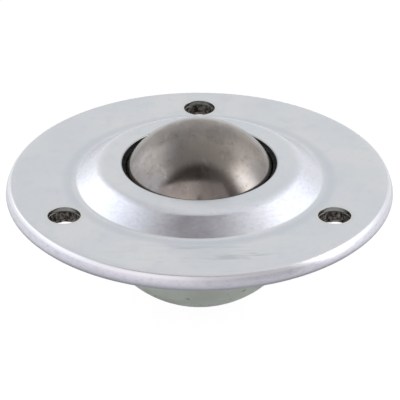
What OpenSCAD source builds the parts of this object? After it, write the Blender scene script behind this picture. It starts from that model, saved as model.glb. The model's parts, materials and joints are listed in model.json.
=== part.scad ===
// Ball transfer unit for a conveyor or feeder table, flange fixing.
//
// A large load ball rolls on a bed of small support balls in a hemispherical race.
// Three pressings make the housing: a body shell, a hardened bearing cup nested in it,
// and a top cap whose rim is rolled down and swaged under the edge of both flanges.
// A retaining ring and a wiper seal lie under the raised collar of the cap.
//
// Millimetres. The origin is on the ball's vertical axis, in the plane of the flange's
// underside, which is the face that seats on the table. +Z points up at the load, and
// one screw hole lies towards +Y.

/* [Load ball] */
// Diameter of the load ball
ball_d = 30; // [29:0.5:31.5]
// Height of the load ball's top above the flange's top face
ball_rise = 10.44; // [9.8:0.02:10.8]

/* [Support balls] */
// Diameter of a support ball
support_d = 3.175; // [3:0.025:3.3]
// Smallest gap between neighbouring support balls in one row
support_gap = 0.02; // [0.01:0.01:0.06]
// Running gap between a support ball and the load ball, and between it and the race
run_gap = 0.02; // [0.01:0.01:0.04]

/* [Flange] */
// Outer diameter of the flange, over the cap's rolled rim
flange_d = 70; // [69:0.5:74]
// Number of screw holes
hole_count = 3; // [3:1:6]
// Diameter of the circle that the screw holes lie on
hole_pcd = 55; // [54:0.5:56.5]
// Diameter of a screw hole
hole_d = 5.8; // [4.8:0.1:6.4]
// Rounding of the upper edge of each screw hole
hole_edge_r = 0.1; // [0.1:0.05:0.3]
// Deburring chamfer on top of the holes in the bearing cup's flange
hole_deburr = 0.3; // [0.1:0.05:0.4]

/* [Sheet metal] */
// Thickness of the top cap
cap_t = 0.7; // [0.6:0.05:0.9]
// Thickness of the bearing cup's flange
race_flange_t = 1.1; // [0.9:0.05:1.3]
// Thickness of the body shell's flange
shell_flange_t = 1.1; // [0.9:0.05:1.3]
// Thickness of the bearing cup's drawn wall
race_wall = 0.65; // [0.5:0.05:0.8]
// Thickness of the body shell's drawn wall
shell_wall = 0.65; // [0.5:0.05:0.8]
// Gap between nested pressings
nest_gap = 0.02; // [0.01:0.01:0.05]

/* [Collar and mouth of the cap] */
// Height of the raised collar above the flange
collar_h = 3.3; // [3:0.1:3.8]
// Width of the flat ring round the mouth
collar_flat_w = 3; // [2.6:0.1:3.4]
// Radius of the shoulder outside the flat ring
shoulder_r = 3.1; // [2.6:0.1:3.2]
// Distance from the flat ring out to the foot of the collar's slope
collar_slope_w = 5.4; // [5.2:0.1:6]
// Radius of the blend between slope and flange
collar_foot_r = 1; // [0.6:0.1:1.4]
// Gap between the load ball and the lower edge of the mouth
mouth_gap = 0.77; // [0.5:0.01:0.9]
// Rounding of the mouth's upper edge
mouth_edge_r = 0.25; // [0.1:0.05:0.35]

/* [Rolled rim of the cap] */
// Radius of the soft shoulder where the flange's top starts to fall
rim_shoulder_r = 4; // [3:0.5:5]
// Inner radius of the bend from the shoulder down into the rim
bend_inner_r = 0.1; // [0.1:0.05:0.3]
// Inner radius of the swage that turns the rim's edge under the flanges
swage_inner_r = 0.1; // [0.1:0.05:0.2]
// Height above the underside at which the swage ends and the edge runs straight
swage_end_h = 0.35; // [0.1:0.05:0.45]

/* [Bends of the cups] */
// Radius of the bearing cup's mouth
race_mouth_r = 1.6; // [1.4:0.1:1.8]
// Radius of the bend where the two cups nest
nest_bend_r = 1; // [0.9:0.05:1.1]
// Radius between the body shell's wall and the underside of its flange
neck_r = 0.4; // [0.2:0.1:0.6]

/* [Retaining ring and seal] */
// Thickness of the retaining ring's lip
retainer_lip_t = 0.8; // [0.6:0.05:1]
// Gap between the retaining ring and what moves or fits near it
retainer_gap = 0.2; // [0.15:0.05:0.3]
// Gap between the wiper seal and the load ball
seal_gap = 0.15; // [0.1:0.01:0.25]
// Height of the wiper seal's straight outer edge
seal_edge_h = 0.5; // [0.3:0.1:0.7]

/* [Hidden] */
$fn = 96;
// How far a cutting shape runs past the metal that it cuts
over = 1;
// How high the rounding of a hole's edge sits over the face, as a share of its radius
edge_lift = 0.1;
// How outlines that run into one another are kept from only touching: the hair by which one
// lies inside the other, how deep a corner is tucked in, and how far a tight arc runs on
hair = 0.0005;
tuck = 0.01;
run_on = 10;

zinc = [0.80, 0.82, 0.84];
zinc_shade = [0.70, 0.73, 0.72];
hardened_steel = [0.52, 0.53, 0.55];
ball_steel = [0.56, 0.53, 0.50];
bearing_steel = [0.66, 0.66, 0.68];
seal_black = [0.07, 0.07, 0.07];
retainer_black = [0.13, 0.13, 0.14];

// Heights above the flange's underside
race_z = shell_flange_t + nest_gap;
race_top_z = race_z + race_flange_t;
flange_top_z = race_top_z + nest_gap + cap_t;
collar_top_z = flange_top_z + collar_h;
ball_r = ball_d / 2;
ball_z = flange_top_z + ball_rise - ball_r;

// Radii of the cup's surfaces
race_r = ball_r + support_d + 2 * run_gap;
race_outer_r = race_r + race_wall;
shell_inner_r = race_outer_r + nest_gap;
shell_outer_r = shell_inner_r + shell_wall;

// Support balls: rows on a sphere, from the lowest ball up to the load ball's equator
orbit_r = ball_r + run_gap + support_d / 2;
row_pitch_min = 2 * asin((support_d + support_gap) / 2 / orbit_r);
row_count = floor(90 / row_pitch_min);
row_pitch = 90 / row_count;
single_rows = 2;

function row_r(row) = orbit_r * sin(row * row_pitch);
function row_z(row) = ball_z - orbit_r * cos(row * row_pitch);
function balls_in_row(row) =
    row == 0 ? 1 : floor(180 / asin((support_d + support_gap) / 2 / row_r(row)));
function balls_below(row) = row == 0 ? 0 : balls_below(row - 1) + balls_in_row(row - 1);
single_count = balls_below(single_rows + 1);

// The cap's outline in section. Each point is for a surface lying inset below the top
// face: inset 0 is the top face itself, and inset cap_t the inner face.
function dir(angle) = [cos(angle), sin(angle)];
flange_r = flange_d / 2;
mouth_sheet_h = collar_top_z - cap_t - ball_z;
mouth_r = sqrt(ball_r * ball_r - mouth_sheet_h * mouth_sheet_h) + mouth_gap;
shoulder_c = [mouth_r + collar_flat_w, collar_top_z - shoulder_r];
foot_from_c = [collar_slope_w, flange_top_z - shoulder_c.y];
slope_angle = atan2(foot_from_c.y, foot_from_c.x) + acos(shoulder_r / norm(foot_from_c));
slope_n = dir(slope_angle);
function slope_x(z, inset) =
    shoulder_c.x + (shoulder_r - inset - (z - shoulder_c.y) * slope_n.y) / slope_n.x;
foot_c = [slope_x(flange_top_z + collar_foot_r, -collar_foot_r), flange_top_z + collar_foot_r];

// The rim in section is four arcs that run into one another, from the underside up: swage,
// bowed flank, bend and shoulder. The angles are those of the normals where they meet, and
// the flank takes the radius that joins the bend to the swage.
rim_angles = [-45, 10, 30, 80, 90];
bend_r = bend_inner_r + cap_t;
swage_r = swage_inner_r + cap_t;
swage_c = [flange_r - swage_r, swage_end_h - swage_r * sin(rim_angles[0])];
flank_h = flange_top_z - swage_c.y - swage_r * sin(rim_angles[1])
    - bend_r * (sin(rim_angles[3]) - sin(rim_angles[2])) - rim_shoulder_r * (1 - sin(rim_angles[3]));
flank_r = flank_h / (sin(rim_angles[2]) - sin(rim_angles[1]));
rim_radii = [swage_r, flank_r, bend_r, rim_shoulder_r];
function rim_c(arc) =
    arc == 0 ? swage_c : rim_c(arc - 1) + (rim_radii[arc - 1] - rim_radii[arc]) * dir(rim_angles[arc]);
function rim_start(arc, inset) = rim_c(arc) + (rim_radii[arc] - inset) * dir(rim_angles[arc]);

// Retaining ring and seal
retainer_top_z = race_top_z + retainer_lip_t;
retainer_r = slope_x(retainer_top_z, cap_t) - retainer_gap;
retainer_skirt_r = race_r - retainer_gap;
retainer_skirt_z = row_z(row_count) + support_d / 2 + retainer_gap;
seal_top_z = collar_top_z - cap_t;
seal_base_r = slope_x(retainer_top_z + seal_edge_h, cap_t) - retainer_gap;

// A slice of a disc about a centre, between two angles less than 180 degrees apart
module slice(centre, radius, from, to) {
    reach = 2 * radius;
    translate(centre)
        intersection() {
            circle(radius);
            polygon([[0, 0], reach * dir(from), reach * dir((from + to) / 2), reach * dir(to)]);
        }
}

// Half section of all that lies under the cap's surface, for one inset of that surface. The
// swage and the bend, which are the tight arcs, run a few degrees on, and what should only
// touch a tight arc lies a hair inside it, so that the outlines cross at clear points.
module cap_section(inset) {
    difference() {
        polygon([
            [0, 0],
            [rim_start(0, inset + hair).x - rim_start(0, inset + hair).y, 0],
            rim_start(0, inset + hair),
            rim_start(1, inset + tuck),
            rim_start(2, inset + tuck),
            rim_start(3, inset + tuck),
            [rim_c(3).x - hair, flange_top_z - inset],
            [foot_c.x, flange_top_z - inset],
            foot_c,
            foot_c - (collar_foot_r + inset - hair) * slope_n,
            shoulder_c + (shoulder_r - inset - hair) * slope_n,
            [shoulder_c.x, collar_top_z - inset],
            [0, collar_top_z - inset]
        ]);
        translate(foot_c) circle(collar_foot_r + inset);
    }
    slice(shoulder_c, shoulder_r - inset, slope_angle - run_on, 90);
    intersection() {
        square([flange_r, flange_top_z]);
        union() {
            for (arc = [0, 2])
                slice(rim_c(arc), rim_radii[arc] - inset, rim_angles[arc] - run_on, rim_angles[arc + 1] + run_on);
            for (arc = [1, 3])
                slice(rim_c(arc) - [hair, 0], rim_radii[arc] - inset, rim_angles[arc], rim_angles[arc + 1]);
        }
    }
}

// Half section of the room in a cup: a hemisphere, a short neck, a rounded mouth and all
// above the flange's face. growth widens the cup and drop lowers the face.
module cup_room(growth, drop, bend_r) {
    room_r = race_r + growth;
    face_z = race_top_z - drop;
    bend_c = [room_r + bend_r, face_z - bend_r];
    slice([0, ball_z], room_r, -90, 0);
    translate([0, ball_z]) square([room_r, flange_top_z - ball_z]);
    translate([0, face_z]) square([flange_r, flange_top_z - face_z]);
    difference() {
        translate([room_r - over, bend_c.y]) square([bend_r + over, bend_r]);
        translate(bend_c) circle(bend_r);
    }
}

// Half section of the room for the nested flanges and cups under the cap
module stack_room() {
    cap_section(cap_t + nest_gap);
    translate([0, ball_z - shell_outer_r - over])
        square([shell_outer_r + neck_r, shell_outer_r + over - ball_z + over]);
}

// What the rounding of a hole's upper edge takes away, for a hole whose face is at z = 0.
// The rounding sits a little high, so that it meets the face at an angle.
module edge_cut(hole_r, edge_r) {
    arc_z = edge_lift * edge_r - edge_r;
    rotate_extrude()
        difference() {
            translate([hole_r - edge_r, arc_z]) square([2 * edge_r, 2 * edge_r]);
            translate([hole_r + edge_r, arc_z]) circle(edge_r);
        }
}

// Places a child at each screw hole
module at_screw_holes() {
    for (i = [0:hole_count - 1])
        rotate(90 + i * 360 / hole_count)
            translate([hole_pcd / 2, 0, 0]) children();
}

module screw_hole() {
    translate([0, 0, -over]) cylinder(d = hole_d, h = flange_top_z + 2 * over);
}

// The chamfer that is cut on a hole in the bearing cup's flange, carried on past its face
module deburr_cut() {
    depth = hole_deburr + nest_gap;
    cylinder(r1 = hole_d / 2, r2 = hole_d / 2 + depth, h = depth);
}

// Top cap: one pressing with the raised collar, the mouth and the rolled rim
module top_cap() {
    color(zinc)
        difference() {
            rotate_extrude()
                difference() {
                    cap_section(0);
                    cap_section(cap_t);
                    square([mouth_r, collar_top_z + over]);
                }
            translate([0, 0, collar_top_z]) edge_cut(mouth_r, mouth_edge_r);
            at_screw_holes() {
                screw_hole();
                translate([0, 0, flange_top_z]) edge_cut(hole_d / 2, hole_edge_r);
            }
        }
}

// Bearing cup: the hardened race that the support balls run in, with its own flange
module bearing_cup() {
    color(hardened_steel)
        difference() {
            rotate_extrude()
                intersection() {
                    stack_room();
                    difference() {
                        cup_room(race_wall, race_flange_t, nest_bend_r);
                        cup_room(0, 0, race_mouth_r);
                    }
                }
            at_screw_holes() {
                screw_hole();
                translate([0, 0, race_top_z - hole_deburr]) deburr_cut();
            }
        }
}

// Body shell: the outer pressing, whose flange seats on the table
module body_shell() {
    color(zinc_shade)
        difference() {
            rotate_extrude()
                intersection() {
                    stack_room();
                    difference() {
                        cup_room(shell_outer_r - race_r, race_top_z, neck_r);
                        cup_room(race_wall + nest_gap, race_flange_t + nest_gap, nest_bend_r - nest_gap);
                    }
                }
            at_screw_holes() screw_hole();
        }
}

// Retaining ring: its skirt keeps the top row of support balls down, its lip lies on the
// bearing cup's flange
module ball_retainer() {
    color(retainer_black)
        rotate_extrude()
            difference() {
                union() {
                    translate([0, race_top_z]) square([retainer_r, retainer_lip_t]);
                    translate([0, retainer_skirt_z])
                        square([retainer_skirt_r, retainer_top_z - retainer_skirt_z]);
                }
                translate([0, ball_z]) circle(ball_r + retainer_gap);
            }
}

// Wiper seal: a ring that fills the collar and follows the load ball
module seal_ring() {
    color(seal_black)
        rotate_extrude()
            difference() {
                polygon([
                    [0, retainer_top_z],
                    [seal_base_r, retainer_top_z],
                    [seal_base_r, retainer_top_z + seal_edge_h],
                    [shoulder_c.x, seal_top_z],
                    [0, seal_top_z]
                ]);
                translate([0, ball_z]) circle(ball_r + seal_gap);
            }
}

module load_ball() {
    color(ball_steel)
        translate([0, 0, ball_z]) sphere(ball_r);
}

// One support ball of a row, counted from 0
module support_ball(row, i) {
    color(bearing_steel)
        rotate(90 + i * 360 / balls_in_row(row))
            translate([row_r(row), 0, row_z(row)]) sphere(d = support_d);
}

module support_row(row) {
    for (i = [0:balls_in_row(row) - 1]) support_ball(row, i);
}

top_cap();
seal_ring();
ball_retainer();
load_ball();
bearing_cup();
body_shell();
for (row = [0:single_rows])
    for (i = [0:balls_in_row(row) - 1])
        support_ball(row, i);
for (row = [single_rows + 1:row_count])
    support_row(row);
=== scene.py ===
import json
import math

import bpy
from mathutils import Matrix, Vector


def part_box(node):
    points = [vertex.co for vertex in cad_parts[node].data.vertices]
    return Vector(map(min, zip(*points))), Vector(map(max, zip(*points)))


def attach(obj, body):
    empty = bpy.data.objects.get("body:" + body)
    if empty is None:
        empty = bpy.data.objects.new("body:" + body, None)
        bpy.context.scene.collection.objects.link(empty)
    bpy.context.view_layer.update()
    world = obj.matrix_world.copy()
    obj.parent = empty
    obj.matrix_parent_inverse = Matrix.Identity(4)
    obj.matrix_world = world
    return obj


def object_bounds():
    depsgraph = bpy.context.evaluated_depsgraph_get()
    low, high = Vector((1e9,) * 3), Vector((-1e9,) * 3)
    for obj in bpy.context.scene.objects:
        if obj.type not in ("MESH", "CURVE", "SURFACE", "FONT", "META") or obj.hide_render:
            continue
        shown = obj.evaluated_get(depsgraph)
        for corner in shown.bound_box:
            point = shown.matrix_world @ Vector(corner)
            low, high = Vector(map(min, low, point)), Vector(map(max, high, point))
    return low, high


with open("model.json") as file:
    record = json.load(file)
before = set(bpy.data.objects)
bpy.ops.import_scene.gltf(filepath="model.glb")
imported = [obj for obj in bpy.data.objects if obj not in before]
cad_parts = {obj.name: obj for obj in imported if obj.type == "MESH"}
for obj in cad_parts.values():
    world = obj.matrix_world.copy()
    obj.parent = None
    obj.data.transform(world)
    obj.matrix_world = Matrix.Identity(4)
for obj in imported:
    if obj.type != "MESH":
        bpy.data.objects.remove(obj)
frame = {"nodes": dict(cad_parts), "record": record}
cad_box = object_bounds()
nodes = frame["nodes"]


# ---------------------------------------------------------------------------------------
# Body shell. The outer pressing of the housing: a flange that seats on the table and a
# half-round cup below it. It is drawn from mild steel sheet and zinc plated, and its
# screw holes are drilled after that, so their walls are bare and torn.

MM = 0.001
bolt_circle = next(m for m in frame["record"]["mounts"] if m["name"] == "flange_bolts")
hole_circle_r = bolt_circle["dims"]["pcd_mm"] / 2 * MM
hole_r = bolt_circle["dims"]["hole_r_mm"] * MM
hole_count = bolt_circle["dims"]["count"]
joint_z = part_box("bearing_cup")[1].z

shell_zinc = (0.67, 0.71, 0.66, 1)
shell_shade = (0.56, 0.59, 0.54, 1)
shell_rust = (0.30, 0.26, 0.21, 1)
shell_satin = (0.34, 0.44)
wall_satin = 0.5
shell_patch_scale = 120.0
shell_waves = 0.03 * MM
shell_grain = 0.004 * MM

# Noise is near 0.5 nearly everywhere: a step over wide_span shades all of it softly, and one
# over cloud_span leaves clearer clouds
wide_span = (0.3, 0.7)
cloud_span = (0.35, 0.65)

# Each noise: its lumps for each metre, its detail and its roughness
shell_dots = (800, 1.0, 0.5)
plate_grain = (2600, 2.0, 0.5)
plate_waves = (230, 1.0, 0.5)
haze_to_patch = 2.3
wall_streaks = (2200, 3.0, 0.65)
wall_spots = (1300, 2.0, 0.5)
shadow_notch_noise = (1500, 2.0, 0.5)

# The hole walls: how far out the wall and the halo round the hole reach, how deep the drill
# tore the steel, and how far a painted shadow hangs in ragged notches under the cap
wall_reach = (0.03 * MM, 0.06 * MM)
halo_reach = (0.1 * MM, 1.1 * MM)
tear_depth = 0.06 * MM
shadow_depth = 0.6 * MM
shadow_edge = (-0.05 * MM, 0.10 * MM)
spots_to_streaks = 0.5
torn_span = (0.62, 0.90)
# The dark of the torn wall, which is also the painted shadow under the cap
torn_dark_and_shadow = (0.030, 0.026, 0.024, 1)
torn_bright = (0.26, 0.235, 0.22, 1)


def add(tree, kind, sockets, **settings):
    """Adds a node. sockets sets its inputs by name or number, to a value or a link."""
    made = tree.nodes.new(kind)
    for name, value in settings.items():
        setattr(made, name, value)
    for key, value in sockets.items():
        if isinstance(value, bpy.types.NodeSocket):
            tree.links.new(value, made.inputs[key])
        else:
            made.inputs[key].default_value = value
    return made


def calc(tree, operation, *values):
    """One Math node, as its output socket."""
    return add(tree, "ShaderNodeMath", dict(enumerate(values)), operation=operation).outputs[0]


def times(tree, first, *others):
    """Two or more values multiplied."""
    for other in others:
        first = calc(tree, "MULTIPLY", first, other)
    return first


def plus(tree, first, *others):
    """Two or more values added."""
    for other in others:
        first = calc(tree, "ADD", first, other)
    return first


def between(tree, value, span, from_value=0.0, to_value=1.0, how="SMOOTHSTEP"):
    """A smooth step that runs from_value to to_value as value crosses the span."""
    sockets = {"Value": value, 1: span[0], 2: span[1], 3: from_value, 4: to_value}
    return add(tree, "ShaderNodeMapRange", sockets, interpolation_type=how).outputs[0]


def mixed(tree, share, first, second, how="MIX"):
    """Two colours mixed, as a colour socket."""
    sockets = {0: share, 6: first, 7: second}
    return add(tree, "ShaderNodeMix", sockets, data_type="RGBA", blend_type=how).outputs[2]


def laid(tree, base, *layers):
    """Colours laid over a base. A layer is its colour, the value that places it, the span in
    which that value brings it in, and the most of it that there is."""
    for colour, value, span, most in layers:
        base = mixed(tree, between(tree, value, span, 0.0, most), base, colour)
    return base


def noise(tree, place, lumps, detail, roughness):
    """Noise from 0 to 1, as a socket, with so many lumps for each metre."""
    sockets = {"Vector": place, "Scale": lumps, "Detail": detail, "Roughness": roughness}
    return add(tree, "ShaderNodeTexNoise", sockets).outputs[0]


def stretched(tree, place, x, y, z):
    """A place scaled by a factor along each axis."""
    sockets = {0: place, 1: (x, y, z)}
    return add(tree, "ShaderNodeVectorMath", sockets, operation="MULTIPLY").outputs[0]


def split(tree, vector):
    """The x, y and z of a vector."""
    return add(tree, "ShaderNodeSeparateXYZ", {0: vector}).outputs


def length(tree, x, y):
    """The length of a flat vector."""
    return calc(tree, "SQRT", plus(tree, times(tree, x, x), times(tree, y, y)))


def finish(name, metallic):
    """A new material with a Principled shader: the material, its tree, its shader and the
    place on the object, in metres."""
    made = bpy.data.materials.new(name)
    made.use_nodes = True
    tree = made.node_tree
    shader = tree.nodes["Principled BSDF"]
    shader.inputs["Metallic"].default_value = metallic
    place = tree.nodes.new("ShaderNodeTexCoord").outputs["Object"]
    return made, tree, shader, place


def coat(tree, shader, colour, roughness):
    """Links a colour and a roughness to the shader."""
    tree.links.new(colour, shader.inputs["Base Color"])
    tree.links.new(roughness, shader.inputs["Roughness"])


def bumps(tree, shader, *heights, form=None):
    """Puts heights, in metres, on the shader as a bump, over the normal form if it is given."""
    sockets = {"Height": plus(tree, *heights), "Distance": 1.0, "Strength": 1.0}
    made = add(tree, "ShaderNodeBump", sockets)
    if form:
        tree.links.new(form, made.inputs["Normal"])
    tree.links.new(made.outputs["Normal"], shader.inputs["Normal"])


def effect(name, inputs, outputs):
    """A new node group: its tree, its inputs as sockets by name, and a function that links a
    value to an output. inputs and outputs give each name's socket type."""
    tree = bpy.data.node_groups.new(name, "ShaderNodeTree")
    for label, kind in inputs.items():
        tree.interface.new_socket(label, in_out="INPUT", socket_type=kind)
    for label, kind in outputs.items():
        tree.interface.new_socket(label, in_out="OUTPUT", socket_type=kind)
    given = tree.nodes.new("NodeGroupInput").outputs
    out = tree.nodes.new("NodeGroupOutput").inputs

    def give(label, value):
        tree.links.new(value, out[label])

    return tree, given, give


def placed(tree, made_effect, **sockets):
    """Places a node group in a material and returns its outputs. A socket's name has _ for a
    space."""
    named = {label.replace("_", " "): value for label, value in sockets.items()}
    made = tree.nodes.new("ShaderNodeGroup")
    made.node_tree = made_effect
    for label, value in named.items():
        if isinstance(value, bpy.types.NodeSocket):
            tree.links.new(value, made.inputs[label])
        else:
            made.inputs[label].default_value = value
    return made.outputs


def dress(made, *names):
    """Gives a material to every slot of the named parts."""
    for name in names:
        for slot in nodes[name].material_slots:
            slot.material = made


FLOAT = "NodeSocketFloat"
COLOUR = "NodeSocketColor"
VECTOR = "NodeSocketVector"


def hole_wall_effect():
    """The screw holes: Mask picks out their walls, Colour is drilled steel with torn streaks
    down it and a painted shadow in ragged notches under the cap, Tears is the streaks' height
    from 0 to 1, and Halo fades away from the hole."""
    outputs = {"Mask": FLOAT, "Colour": COLOUR, "Tears": FLOAT, "Halo": FLOAT}
    tree, given, give = effect("hole_wall", {"Place": VECTOR}, outputs)
    place = given["Place"]
    x, y, z = split(tree, place)

    # Every hole is turned onto the first, and places are measured from its centre
    away = length(tree, x, y)
    turn = math.pi / hole_count
    angle = calc(tree, "SUBTRACT", calc(tree, "ARCTAN2", y, x), math.pi / 2)
    folded = calc(tree, "WRAP", angle, turn, -turn)
    outward = calc(tree, "SUBTRACT", times(tree, away, calc(tree, "COSINE", folded)), hole_circle_r)
    sideways = times(tree, away, calc(tree, "SINE", folded))
    from_wall = calc(tree, "SUBTRACT", length(tree, outward, sideways), hole_r)
    give("Mask", between(tree, from_wall, wall_reach, 1.0, 0.0))
    give("Halo", between(tree, from_wall, halo_reach, 1.0, 0.0))

    # Streaks run down the wall, and a painted shadow hangs in ragged notches from the joint
    # under the cap
    streaks = noise(tree, stretched(tree, place, 1, 1, 0.3), *wall_streaks)
    spots = noise(tree, place, *wall_spots)
    shadow_notches = noise(tree, stretched(tree, place, 1, 1, 0.05), *shadow_notch_noise)
    shadow_hang = times(tree, between(tree, shadow_notches, wide_span), shadow_depth)
    above = calc(tree, "SUBTRACT", z, calc(tree, "SUBTRACT", joint_z, shadow_hang))
    unshadowed_wall = between(tree, above, shadow_edge, 1.0, 0.0)
    torn_clear_of_shadow = between(tree, plus(tree, streaks, times(tree, spots, spots_to_streaks)), torn_span)
    torn_clear_of_shadow = times(tree, torn_clear_of_shadow, unshadowed_wall)
    give("Colour", mixed(tree, torn_clear_of_shadow, torn_dark_and_shadow, torn_bright))
    give("Tears", torn_clear_of_shadow)
    return tree


def plating_effect():
    """The unevenness of plated sheet: Patch in large clouds, Haze in small ones, Grain in fine
    dots, and Waves, in metres, for the slow unevenness of pressed metal."""
    inputs = {"Place": VECTOR, "Patch Scale": FLOAT, "Wave Height": FLOAT}
    outputs = {"Patch": FLOAT, "Haze": FLOAT, "Grain": FLOAT, "Waves": FLOAT}
    tree, given, give = effect("plating", inputs, outputs)
    place = given["Place"]
    haze_scale = times(tree, given["Patch Scale"], haze_to_patch)
    give("Patch", noise(tree, place, given["Patch Scale"], 1.0, 0.5))
    give("Haze", noise(tree, place, haze_scale, 1.0, 0.5))
    give("Grain", noise(tree, place, *plate_grain))
    give("Waves", times(tree, noise(tree, place, *plate_waves), given["Wave Height"]))
    return tree


hole_wall = hole_wall_effect()
plating = plating_effect()

shell_plate, tree, shader, place = finish("shell_plate", 1.0)
plate = placed(tree, plating, Place=place, Patch_Scale=shell_patch_scale, Wave_Height=shell_waves)
hole = placed(tree, hole_wall, Place=place)
dots = noise(tree, place, *shell_dots)
zinc = laid(
    tree, shell_zinc,
    (shell_shade, plate["Patch"], cloud_span, 1.0),
    (shell_shade, plate["Haze"], (0.5, 0.75), 0.25),
    (shell_rust, dots, (0.70, 0.76), 0.75),
)
satin = between(tree, plate["Patch"], wide_span, *shell_satin)
satin = calc(tree, "MAXIMUM", satin, times(tree, hole["Mask"], wall_satin))
coat(tree, shader, mixed(tree, hole["Mask"], zinc, hole["Colour"]), satin)
tears = times(tree, hole["Mask"], hole["Tears"], tear_depth)
bumps(tree, shader, tears, plate["Waves"], times(tree, plate["Grain"], shell_grain))
dress(shell_plate, "body_shell")


# ---------------------------------------------------------------------------------------
# Bearing cup. The race that the support balls run in, a thick steel pressing hardened and
# oiled, nested in the body shell and held by its flange between the other two. Only the
# edge of that flange shows, in the screw holes, and the drill has torn it.

race_steel = (0.16, 0.155, 0.15, 1)
race_temper = (0.22, 0.20, 0.18, 1)
race_satin = (0.28, 0.5)
race_patch_scale = 160.0
race_grain = 0.003 * MM

hardened, tree, shader, place = finish("hardened_race", 1.0)
plate = placed(tree, plating, Place=place, Patch_Scale=race_patch_scale, Wave_Height=0.0)
hole = placed(tree, hole_wall, Place=place)
steel = mixed(tree, plate["Patch"], race_steel, race_temper)
satin = between(tree, plate["Haze"], wide_span, *race_satin)
coat(tree, shader, mixed(tree, hole["Mask"], steel, hole["Colour"]), satin)
tears = times(tree, hole["Mask"], hole["Tears"], tear_depth)
bumps(tree, shader, tears, times(tree, plate["Grain"], race_grain))
dress(hardened, "bearing_cup")


# ---------------------------------------------------------------------------------------
# Drill burrs. Where the drill broke out through the flanges it left a torn lip of steel
# round the lower edge of each screw hole. Each lip is one ragged, folded ring.

burr_steps = 96
burr_reach = 0.36 * MM
burr_overlap = 0.03 * MM
burr_wave = 0.12 * MM
burr_clear = 0.01 * MM
# The lip's section: heights in millimetres, and the share of the reach at each
burr_lines = [(0.02, 0.00), (0.10, 0.75), (0.22, 1.00), (0.42, 0.55), (0.62, 0.00)]
burr_dark = (0.045, 0.038, 0.034, 1)
burr_bright = (0.34, 0.31, 0.29, 1)
burr_satin = (0.30, 0.55)
burr_patch_scale = 1400.0
burr_roughness = 0.05 * MM


def ragged(turn, seed):
    """How far the lip reaches in at an angle, from 0 to 1: slow waves with tears between."""
    slow = 0.5 + 0.5 * math.sin(3 * turn + 1.7 * seed)
    tears = abs(math.sin(8.5 * turn + seed) * math.sin(13 * turn + 2.3 * seed))
    return 0.30 + 0.35 * slow + 0.35 * tears


def burr(number):
    """One lip: a band round the wall of a hole, thickest a little above the underside."""
    turn = math.pi / 2 + number * 2 * math.pi / hole_count
    middle = Vector((math.cos(turn), math.sin(turn), 0)) * hole_circle_r
    corners = []
    for step in range(burr_steps):
        angle = 2 * math.pi * step / burr_steps
        reach = burr_reach * ragged(angle, number)
        for height, share in burr_lines:
            lift = burr_wave * math.sin(5 * angle + number) * share
            radius = hole_r + burr_overlap - (reach + burr_overlap) * share
            spot = middle + Vector((math.cos(angle), math.sin(angle), 0)) * radius
            corners.append((spot.x, spot.y, max(height * MM + lift, burr_clear)))
    rows = len(burr_lines)
    faces = []
    for step in range(burr_steps):
        here, there = step * rows, (step + 1) % burr_steps * rows
        for row in range(rows):
            above = (row + 1) % rows
            faces.append((here + row, there + row, there + above, here + above))
    mesh = bpy.data.meshes.new(f"drill_burr_{number + 1}")
    mesh.from_pydata(corners, [], faces)
    mesh.polygons.foreach_set("use_smooth", [True] * len(mesh.polygons))
    made = bpy.data.objects.new(mesh.name, mesh)
    bpy.context.scene.collection.objects.link(made)
    return made


torn_lip, tree, shader, place = finish("torn_lip", 1.0)
plate = placed(tree, plating, Place=place, Patch_Scale=burr_patch_scale, Wave_Height=0.0)
steel = laid(tree, burr_dark, (burr_bright, plate["Patch"], cloud_span, 1.0))
coat(tree, shader, steel, between(tree, plate["Haze"], wide_span, *burr_satin))
bumps(tree, shader, times(tree, plate["Haze"], burr_roughness))
for number in range(hole_count):
    lip = burr(number)
    lip.data.materials.append(torn_lip)
    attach(lip, "housing")


# ---------------------------------------------------------------------------------------
# Support balls. Ground and lapped bearing steel, with a film of oil. They lie loose in the
# race, and the load ball rolls on them.

support_steel = (0.62, 0.62, 0.63, 1)
support_film = (0.52, 0.51, 0.50, 1)
support_satin = (0.06, 0.14)
support_patch_scale = 700.0

lapped, tree, shader, place = finish("lapped_balls", 1.0)
plate = placed(tree, plating, Place=place, Patch_Scale=support_patch_scale, Wave_Height=0.0)
steel = mixed(tree, plate["Patch"], support_steel, support_film)
coat(tree, shader, steel, between(tree, plate["Haze"], wide_span, *support_satin))
dress(lapped, *[name for name in nodes if name.startswith("support_")])


# ---------------------------------------------------------------------------------------
# Retaining ring and wiper seal. The ring is moulded in black nylon, and the seal in soft
# black rubber. They lie one on the other under the collar, where grease and dust keep
# them dull.

moulded_black = (0.003, 0.003, 0.003, 1)
moulded_dust = (0.007, 0.006, 0.006, 1)
moulded_satin = (0.45, 0.65)
moulded_ior = 1.25
moulded_patch_scale = 300.0
moulded_grain = 0.01 * MM

moulded, tree, shader, place = finish("moulded_black", 0.0)
shader.inputs["IOR"].default_value = moulded_ior
plate = placed(tree, plating, Place=place, Patch_Scale=moulded_patch_scale, Wave_Height=0.0)
black = mixed(tree, plate["Patch"], moulded_black, moulded_dust)
coat(tree, shader, black, between(tree, plate["Haze"], wide_span, *moulded_satin))
bumps(tree, shader, times(tree, plate["Grain"], moulded_grain))
dress(moulded, "ball_retainer", "seal_ring")


# ---------------------------------------------------------------------------------------
# Load ball. Carbon steel, ground, and dulled brown-grey by use. Fine scratches cross it in
# every direction, with a mottled film between them, and a dark patch on its near upper side
# is a painted dark reflection.

ball_low, ball_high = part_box("load_ball")
ball_centre = (ball_low + ball_high) / 2
ball_r = (ball_high.z - ball_low.z) / 2
ball_brown = (0.320, 0.280, 0.248, 1)
ball_grey = (0.262, 0.242, 0.232, 1)
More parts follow.
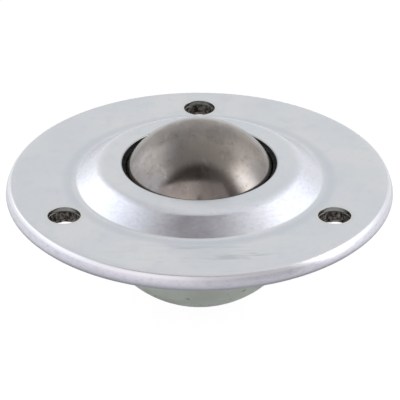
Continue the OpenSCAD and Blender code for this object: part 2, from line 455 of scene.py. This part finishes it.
# The dark of the mottle and scratches, also used for the painted dark reflection
ball_dark_and_reflection = (0.205, 0.182, 0.165, 1)
ball_pit = (0.12, 0.10, 0.09, 1)
ball_rub = (0.46, 0.43, 0.41, 1)
ball_satin = (0.11, 0.20)
scratch_depth = 0.0016 * MM
cloud_depth = 0.008 * MM
film_clouds = (150, 2.0, 0.5)
film_mottle = (420, 4.0, 0.6)
long_scratches = (1500, 3.0, 0.6)
cross_scratches = (1300, 3.0, 0.6)
small_pits = (900, 2.0, 0.5)
small_rubs = (700, 2.0, 0.5)
# The painted dark reflection: how far its patch lies from the top towards the near side,
# where it fades away from its middle, and how far the clouds shift its edge
dark_reflection_tilt = math.radians(37)
dark_reflection_fade = (10.0 * MM, 3.0 * MM)
dark_reflection_shift = 5.0 * MM

ground_ball, tree, shader, place = finish("ground_ball", 1.0)
clouds = noise(tree, place, *film_clouds)
mottle = noise(tree, place, *film_mottle)
scratches = noise(tree, stretched(tree, place, 1, 0.10, 1), *long_scratches)
crossing = noise(tree, stretched(tree, place, 0.12, 1, 0.6), *cross_scratches)
pits = noise(tree, place, *small_pits)
rubs = noise(tree, stretched(tree, place, 1, 0.25, 1), *small_rubs)
dark_reflection_spot = ball_centre + Vector((0, -math.sin(dark_reflection_tilt), math.cos(dark_reflection_tilt))) * ball_r
sockets = {0: place, 1: dark_reflection_spot}
from_spot = add(tree, "ShaderNodeVectorMath", sockets, operation="DISTANCE").outputs[1]
dark_reflection_edge = plus(tree, from_spot, times(tree, clouds, dark_reflection_shift))
film = laid(
    tree, ball_brown,
    (ball_grey, clouds, cloud_span, 1.0),
    (ball_dark_and_reflection, mottle, (0.42, 0.75), 0.7),
    (ball_dark_and_reflection, scratches, (0.50, 0.75), 0.35),
    # A painted dark reflection on the near upper side, in the same dark as the mottle and scratches
    (ball_dark_and_reflection, dark_reflection_edge, dark_reflection_fade, 0.9),
    (ball_pit, pits, (0.60, 0.76), 0.35),
    (ball_rub, rubs, (0.58, 0.78), 0.35),
)
coat(tree, shader, film, between(tree, mottle, wide_span, *ball_satin))
ground = times(tree, plus(tree, scratches, crossing), scratch_depth)
bumps(tree, shader, ground, times(tree, clouds, cloud_depth))
dress(ground_ball, "load_ball")


# ---------------------------------------------------------------------------------------
# Top cap. Thin steel sheet, pressed to a raised collar with the ball's mouth in it, its rim
# rolled down and swaged under the two flanges to hold the housing together. It is bright
# zinc plated, faintly blue and lilac, and handling has scuffed the flange.

ball_rise = 10.44 * MM
flange_top = ball_high.z - ball_rise
mouth_r = 13.95 * MM
ring_end_r = 16.95 * MM
slope_r = 18.82 * MM
foot_start_r = 22.08 * MM
foot_end_r = 22.69 * MM
shoulder_start_r = 32.3 * MM
rim_r = 33.9 * MM
flank_r = 34.0 * MM

# How far the skin leans outward, as the sine of its tilt: on the ring round the mouth and on
# the slope, and then each bend as the span of radius that it takes and what it adds
ring_lean = 0.07
slope_lean = 0.604
skin_bends = [
    ((ring_end_r, slope_r), slope_lean - ring_lean),
    ((foot_start_r, foot_end_r), -slope_lean),
    ((shoulder_start_r, rim_r), 0.174),
    ((rim_r, 34.20 * MM), 0.436),
    ((34.20 * MM, 34.26 * MM), 0.190),
    ((34.26 * MM, 34.46 * MM), 0.066),
]
# Below the bend, how far the rim's flank faces up, and its two arcs by height
flank_z = 2.49 * MM
swage_z = 1.05 * MM
hem_z = 0.35 * MM
flank_rise = 0.5
flank_bends = [((flank_z, swage_z), -0.326), ((swage_z, hem_z), -0.881)]
# The top of the skin faces up by at least least_upward, past the mouth's rounded edge, and
# the flank ends a margin above the hem
least_upward = 0.25
mouth_edge_r = 0.3 * MM
hem_margin = 0.01 * MM

cap_silver = (0.870, 0.878, 0.895, 1)
cap_cool = (0.81, 0.845, 0.88, 1)
cap_lilac = (0.83, 0.835, 0.885, 1)
cap_bloom = (0.76, 0.815, 0.85, 1)
# Blue-grey for the painted shade round the collar's foot
cap_blue_shade = (0.68, 0.735, 0.80, 1)
cap_scuff = (0.56, 0.57, 0.58, 1)
# Grey for the edges of the screw holes, and for painted shade on the mouth's rounded edge
cap_edge_and_shade = (0.36, 0.37, 0.35, 1)
hole_halo = (0.80, 0.80, 0.76, 1)
drawn_lilac = (0.87, 0.87, 0.94, 1)
drawn_shade = (0.79, 0.785, 0.86, 1)
# The rim: a lilac darker than the flange as painted shade, with painted shade towards its hem and a
# painted highlight along its upper edge
rim_edge_highlight = (0.82, 0.82, 0.85, 1)
rim_lilac_and_shade = (0.70, 0.70, 0.765, 1)
rim_shade = (0.52, 0.52, 0.57, 1)
rim_hem_shade = (0.34, 0.34, 0.39, 1)
cap_satin = (0.21, 0.27)
rim_satin = 0.10
cap_patch_scale = 75.0
cap_waves = 0.035 * MM
cap_grain = 0.0028 * MM
bloom_clouds = (330, 2.0, 0.55)
drawn_streaks = (1000, 3.0, 0.6)
rub_marks = (420, 3.0, 0.6)

# Where each effect comes in and goes out again, by radius: a blue-grey ring of painted shade
# round the collar's foot, the slope, the rim, and the painted shade on the mouth's rounded edge
foot_shade_in, foot_shade_out = (22.7 * MM, 23.5 * MM), (23.9 * MM, 25.3 * MM)
foot_shade_share = 0.5
slope_in, slope_out = (ring_end_r, 19 * MM), (21.4 * MM, 22.6 * MM)
slope_share = 0.75
rim_in = (rim_r - 0.5 * MM, rim_r + 0.7 * MM)
mouth_shade_out = (mouth_r + 0.10 * MM, mouth_r + 0.35 * MM)
mouth_shade_share = 0.75
# By height, where painted shade darkens the rim towards its hem and where a painted
# highlight brightens its upper edge
rim_hem_shade_in, rim_edge_highlight_in = (1.6 * MM, 0.4 * MM), (2.0 * MM, 2.4 * MM)
# The scuffed strip: towards the front edge, short of the rim, and more of it on the right
scuff_front, scuff_rim = (-23 * MM, -26 * MM), (30 * MM, 32 * MM)
scuff_side = (-13 * MM, -2 * MM)
scuff_share, scuff_left_share = 0.50, 0.25
speck_share = 0.10
halo_share = 0.6
hole_edge_halo = 0.9


def bent(tree, value, start, bends):
    """A value that changes evenly over each bend's span."""
    ramps = [between(tree, value, span, 0.0, change, "LINEAR") for span, change in bends]
    return plus(tree, *ramps, start)


def other_leg(tree, leg):
    """The other leg of a right triangle whose long side is 1."""
    return calc(tree, "SQRT", calc(tree, "SUBTRACT", 1.0, times(tree, leg, leg)))


def pressed_form():
    """The cap's outer skin as its dies left it: Normal is square to the true curve at a place,
    and Skin is 1 where that holds, given the Facing of the surface there."""
    inputs = {"Place": VECTOR, "Facing": VECTOR}
    tree, given, give = effect("pressed_form", inputs, {"Normal": VECTOR, "Skin": FLOAT})
    x, y, z = split(tree, given["Place"])
    radius = length(tree, x, y)
    flank = calc(tree, "LESS_THAN", z, flank_z)
    above = calc(tree, "SUBTRACT", 1.0, flank)
    flank_upward = bent(tree, z, flank_rise, flank_bends)
    top_upward = other_leg(tree, bent(tree, radius, ring_lean, skin_bends))
    upward = plus(tree, times(tree, flank, flank_upward), times(tree, above, top_upward))
    share = calc(tree, "DIVIDE", other_leg(tree, upward), radius)
    sockets = {0: times(tree, x, share), 1: times(tree, y, share), 2: upward}
    give("Normal", add(tree, "ShaderNodeCombineXYZ", sockets).outputs[0])

    # The top of the skin, and its flank, which is the outside of the rim down to its hem
    faces_up = calc(tree, "GREATER_THAN", split(tree, given["Facing"])[2], least_upward)
    past_mouth = calc(tree, "GREATER_THAN", radius, mouth_r + mouth_edge_r)
    outside = calc(tree, "GREATER_THAN", radius, flank_r)
    past_hem = calc(tree, "GREATER_THAN", z, hem_z + hem_margin)
    top = times(tree, faces_up, past_mouth, above)
    side = times(tree, flank, outside, past_hem)
    give("Skin", plus(tree, top, side))
    return tree


bright_plate, tree, shader, place = finish("bright_plate", 1.0)
plate = placed(tree, plating, Place=place, Patch_Scale=cap_patch_scale, Wave_Height=cap_waves)
hole = placed(tree, hole_wall, Place=place)
x, y, z = split(tree, place)
radius = length(tree, x, y)

# The normal of the pressed form, but for the edges of the screw holes
facing = tree.nodes.new("ShaderNodeTexCoord").outputs["Normal"]
form = placed(tree, pressed_form(), Place=place, Facing=facing)
skin = times(tree, form["Skin"], calc(tree, "LESS_THAN", hole["Halo"], hole_edge_halo))
sockets = {0: skin, 4: facing, 5: form["Normal"]}
smooth = add(tree, "ShaderNodeMix", sockets, data_type="VECTOR").outputs[1]
settings = {"vector_type": "NORMAL", "convert_from": "OBJECT", "convert_to": "WORLD"}
smooth = add(tree, "ShaderNodeVectorTransform", {0: smooth}, **settings).outputs[0]

# The plating of the flange, and a blue-grey ring of painted shade round the collar's foot
bloom = noise(tree, place, *bloom_clouds)
foot_shade_inner = between(tree, radius, foot_shade_in)
foot_shade_outer = between(tree, radius, foot_shade_out, 1.0, 0.0)
zinc = laid(
    tree, cap_silver,
    (cap_cool, plate["Patch"], (0.30, 0.66), 1.0),
    (cap_lilac, plate["Haze"], (0.45, 0.78), 0.8),
    (cap_bloom, bloom, (0.50, 0.72), 0.55),
)
zinc = mixed(tree, times(tree, foot_shade_inner, foot_shade_outer, foot_shade_share), zinc, cap_blue_shade)

# The collar's slope and the rim, where drawing has roughened the sheet. The rim's lilac is
# darker than the flange as painted shade, with more painted shade towards its hem and a
# painted highlight on its upper edge
streaks = noise(tree, stretched(tree, place, 1, 1, 2.5), *drawn_streaks)
slope_inner = between(tree, radius, slope_in)
slope_outer = between(tree, radius, slope_out, slope_share, 0.0)
drawn_zinc = laid(tree, drawn_lilac, (drawn_shade, streaks, (0.42, 0.68), 1.0))
zinc = mixed(tree, times(tree, slope_inner, slope_outer), zinc, drawn_zinc)
rim_zinc_and_light = laid(
    tree, rim_lilac_and_shade,
    (rim_shade, streaks, (0.42, 0.72), 0.5),
    (rim_hem_shade, z, rim_hem_shade_in, 0.70),
    (rim_edge_highlight, z, rim_edge_highlight_in, 1.0),
)
at_rim = between(tree, radius, rim_in)
zinc = mixed(tree, at_rim, zinc, rim_zinc_and_light)

# Scuffs near the flange's front edge, fine specks all over, painted shade on the mouth's
# rounded edge, and handled edges of the screw holes
rubbed = noise(tree, stretched(tree, place, 0.16, 1, 1), *rub_marks)
scuff = times(
    tree,
    between(tree, y, scuff_front),
    between(tree, radius, scuff_rim, 1.0, 0.0),
    between(tree, x, scuff_side, scuff_left_share, 1.0),
    between(tree, rubbed, (0.55, 0.66), 0.0, scuff_share),
)
mouth_edge_shade = between(tree, radius, mouth_shade_out, mouth_shade_share, 0.0)
zinc = mixed(tree, scuff, zinc, cap_scuff)
zinc = laid(tree, zinc, (cap_scuff, plate["Grain"], (0.45, 0.80), speck_share))
zinc = mixed(tree, times(tree, hole["Halo"], halo_share), zinc, hole_halo)
# Painted shade on the mouth's rounded edge
zinc = mixed(tree, mouth_edge_shade, zinc, cap_edge_and_shade)
zinc = mixed(tree, hole["Mask"], zinc, cap_edge_and_shade)

satin = between(tree, plate["Haze"], wide_span, *cap_satin)
coat(tree, shader, zinc, plus(tree, satin, times(tree, at_rim, rim_satin)))
bumps(tree, shader, plate["Waves"], times(tree, plate["Grain"], cap_grain), form=smooth)
dress(bright_plate, "top_cap")


# ---------------------------------------------------------------------------------------
# Studio. A white table top under a dim ceiling, with a large bright light box on the right,
# smaller ones on the left, and the dark arch of a copy stand over the near side. They light
# the metal and are what it reflects.

white = (1, 1, 1, 1)
table_size = 8.0
table_white = (0.88, 0.88, 0.88, 1)
table_glow = 1.06
table_seen_white = 0.90
table_mirrored_white = 0.80
# Where the metal sees a painted glow on the table: from the near side to the far side, away
# from the unit, and less of it further off
table_glow_far, table_glow_round = (-150 * MM, 10 * MM), (40 * MM, 100 * MM)
table_dim_far = (50 * MM, 180 * MM)
table_dim_share = 0.45


def table_top():
    """The table, as one square face at the lowest point of the unit."""
    half = table_size / 2
    level = cad_box[0].z
    mesh = bpy.data.meshes.new("table_top")
    turns = [(-1, -1), (1, -1), (1, 1), (-1, 1)]
    mesh.from_pydata([(x * half, y * half, level) for x, y in turns], [], [(0, 1, 2, 3)])
    made = bpy.data.objects.new("table_top", mesh)
    bpy.context.scene.collection.objects.link(made)
    return made


def table_paper():
    """Matt white paper that keeps the unit's shadow, looks white behind it, and is clear from
    below. The metal sees a painted white glow on it on the far side, and less so further off."""
    made = bpy.data.materials.new("table_paper")
    made.use_nodes = True
    tree = made.node_tree
    tree.nodes.clear()
    x, y, z = split(tree, tree.nodes.new("ShaderNodeTexCoord").outputs["Object"])
    painted_glow = times(
        tree,
        between(tree, y, table_glow_far),
        between(tree, length(tree, x, y), table_glow_round),
        between(tree, y, table_dim_far, 1.0, table_dim_share),
    )
    path = tree.nodes.new("ShaderNodeLightPath").outputs
    mirrored = calc(tree, "MAXIMUM", path["Is Glossy Ray"], path["Is Transmission Ray"])
    mirrored = times(tree, mirrored, painted_glow, table_mirrored_white)
    seen = times(tree, path["Is Camera Ray"], table_seen_white)
    share = calc(tree, "MAXIMUM", seen, mirrored)
    matt = add(tree, "ShaderNodeBsdfDiffuse", {"Color": table_white}).outputs[0]
    glow = {"Color": white, "Strength": table_glow}
    glowing = add(tree, "ShaderNodeEmission", glow).outputs[0]
    paper = add(tree, "ShaderNodeMixShader", {0: share, 1: matt, 2: glowing}).outputs[0]
    below = tree.nodes.new("ShaderNodeNewGeometry").outputs["Backfacing"]
    clear = tree.nodes.new("ShaderNodeBsdfTransparent").outputs[0]
    both = add(tree, "ShaderNodeMixShader", {0: below, 1: paper, 2: clear}).outputs[0]
    add(tree, "ShaderNodeOutputMaterial", {"Surface": both})
    return made


table = table_top()
table.data.materials.append(table_paper())

world = bpy.data.worlds.new("studio")
bpy.context.scene.world = world
world.use_nodes = True
tree = world.node_tree
tree.nodes.clear()
toward = tree.nodes.new("ShaderNodeTexCoord").outputs["Generated"]
across, away, height = split(tree, toward)


def light_box(turn, rise, wide, tall, soft):
    """A soft-edged box in the surroundings, as a mask. turn is in degrees clockwise from the far
    side, and rise is upwards. wide and tall are the tangents of its half angles."""
    turn, rise = math.radians(turn), math.radians(rise)
    ahead = Vector((math.sin(turn), math.cos(turn), 0)) * math.cos(rise)
    middle = ahead + Vector((0, 0, math.sin(rise)))
    side = Vector((-middle.y, middle.x, 0)).normalized()
    depth, along, upward = [
        add(tree, "ShaderNodeVectorMath", {0: toward, 1: axis}, operation="DOT_PRODUCT").outputs[1]
        for axis in (middle, side, middle.cross(side))
    ]
    near = calc(tree, "MAXIMUM", depth, 0.01)
    mask = between(tree, depth, (0.0, 0.05))
    for offset, half in ((along, wide), (upward, tall)):
        tangent = calc(tree, "ABSOLUTE", calc(tree, "DIVIDE", offset, near))
        mask = times(tree, mask, between(tree, tangent, (half - soft, half + soft), 1.0, 0.0))
    return mask


# Each light box: turn, rise, wide, tall, soft and the light that it adds. The far wall and
# the dark spot in the room are placed in the same way
light_boxes = [
    (97, 23, 0.22, 0.40, 0.30, (2.5, 2.5, 2.52, 1)),
    (68, 30, 0.40, 0.30, 0.40, (0.62, 0.66, 0.72, 1)),
    (-47, 12, 0.12, 0.20, 0.34, (0.95, 1.0, 1.08, 1)),
    (-80, 33, 0.60, 0.42, 0.25, (0.56, 0.61, 0.68, 1)),
]
wall_box = (-2, 8, 0.22, 0.35, 0.22)
dark_box = (180, 30, 0.06, 0.08, 0.05)
sky_low = (0.84, 0.845, 0.85, 1)
sky_high = (0.66, 0.66, 0.668, 1)
far_wall = (0.70, 0.705, 0.71, 1)
ceiling_dark = (0.12, 0.115, 0.13, 1)
room_left = (1.12, 1.07, 1.10, 1)
room_right = (0.57, 0.545, 0.555, 1)
room_dark = (0.30, 0.28, 0.28, 1)
stand_left = (0.125, 0.113, 0.113, 1)
stand_right = (0.28, 0.26, 0.265, 1)

# The arch: for its outer edge the factors of height and width squared, for its inner edge
# those of height and width, how soft each edge is, and where its feet end
outer_height, outer_width = 0.061, 0.283
inner_height, inner_width = 0.70, 0.97
outer_edge, inner_edge = (-0.24, 0.07), (-0.05, 0.05)
stand_foot = (-0.02, 0.05)

sky = laid(tree, sky_low, (sky_high, height, (0.0, 0.9), 1.0))
for *box, light in light_boxes:
    sky = mixed(tree, light_box(*box), sky, light, "ADD")
sky = mixed(tree, light_box(*wall_box), sky, far_wall)

# The ceiling: lighter towards the right, darker towards the left
ceiling = between(tree, height, (0.5, 0.85))
lighter = between(tree, across, (-0.6, 0.6), 0.0, 0.30)
darker = between(tree, across, (-0.7, 0.1), 0.28, 0.0)
sky = mixed(tree, times(tree, ceiling, lighter), sky, white)
sky = mixed(tree, times(tree, ceiling, darker), sky, ceiling_dark)

# The near side: the stand's arch is a band between an outer and an inner edge, and what is
# seen under it is bright on the left and dim on the right
near_side = times(tree, away, -1.0)
outer_squared = plus(
    tree,
    times(tree, height, height, outer_height),
    times(tree, across, across, outer_width),
)
inner = calc(tree, "MAXIMUM", times(tree, height, inner_height), times(tree, across, inner_width))
past_outer = calc(tree, "SUBTRACT", near_side, calc(tree, "SQRT", outer_squared))
past_inner = calc(tree, "SUBTRACT", near_side, inner)
upright = between(tree, height, stand_foot)
under = times(tree, between(tree, past_inner, inner_edge), upright)
arch = times(tree, between(tree, past_outer, outer_edge), upright)
room = laid(tree, room_left, (room_right, across, (-0.4, 0.4), 1.0))
room = mixed(tree, light_box(*dark_box), room, room_dark)
stand = laid(tree, stand_left, (stand_right, across, (-0.1, 0.6), 1.0))
sky = mixed(tree, arch, sky, mixed(tree, under, stand, room))

path = tree.nodes.new("ShaderNodeLightPath").outputs
sky = mixed(tree, path["Is Camera Ray"], sky, white)
background = add(tree, "ShaderNodeBackground", {"Color": sky, "Strength": 1.0}).outputs[0]
add(tree, "ShaderNodeOutputWorld", {"Surface": background})

# The camera looks down on the unit from the near side, with the ball's axis in the middle.
# drop and right are how far it stands below and beside the line to the flange's centre
elevation = math.radians(29.435)
distance = 453.431 * MM
drop = 4.047 * MM
right = 0.108 * MM
lens_mm = 225.67
sensor_mm = 36.0
nearest, farthest = 0.01, 20.0

camera = bpy.data.objects.new("camera", bpy.data.cameras.new("camera"))
bpy.context.scene.collection.objects.link(camera)
ahead = Vector((0, math.cos(elevation), -math.sin(elevation)))
upwards = Vector((0, math.sin(elevation), math.cos(elevation)))
camera.location = Vector((right, 0, flange_top)) - ahead * distance - upwards * drop
camera.rotation_euler = (math.pi / 2 - elevation, 0, 0)
camera.data.lens = lens_mm
camera.data.sensor_width = sensor_mm
camera.data.clip_start = nearest
camera.data.clip_end = farthest
bpy.context.scene.camera = camera
bpy.context.scene.view_settings.view_transform = "Standard"
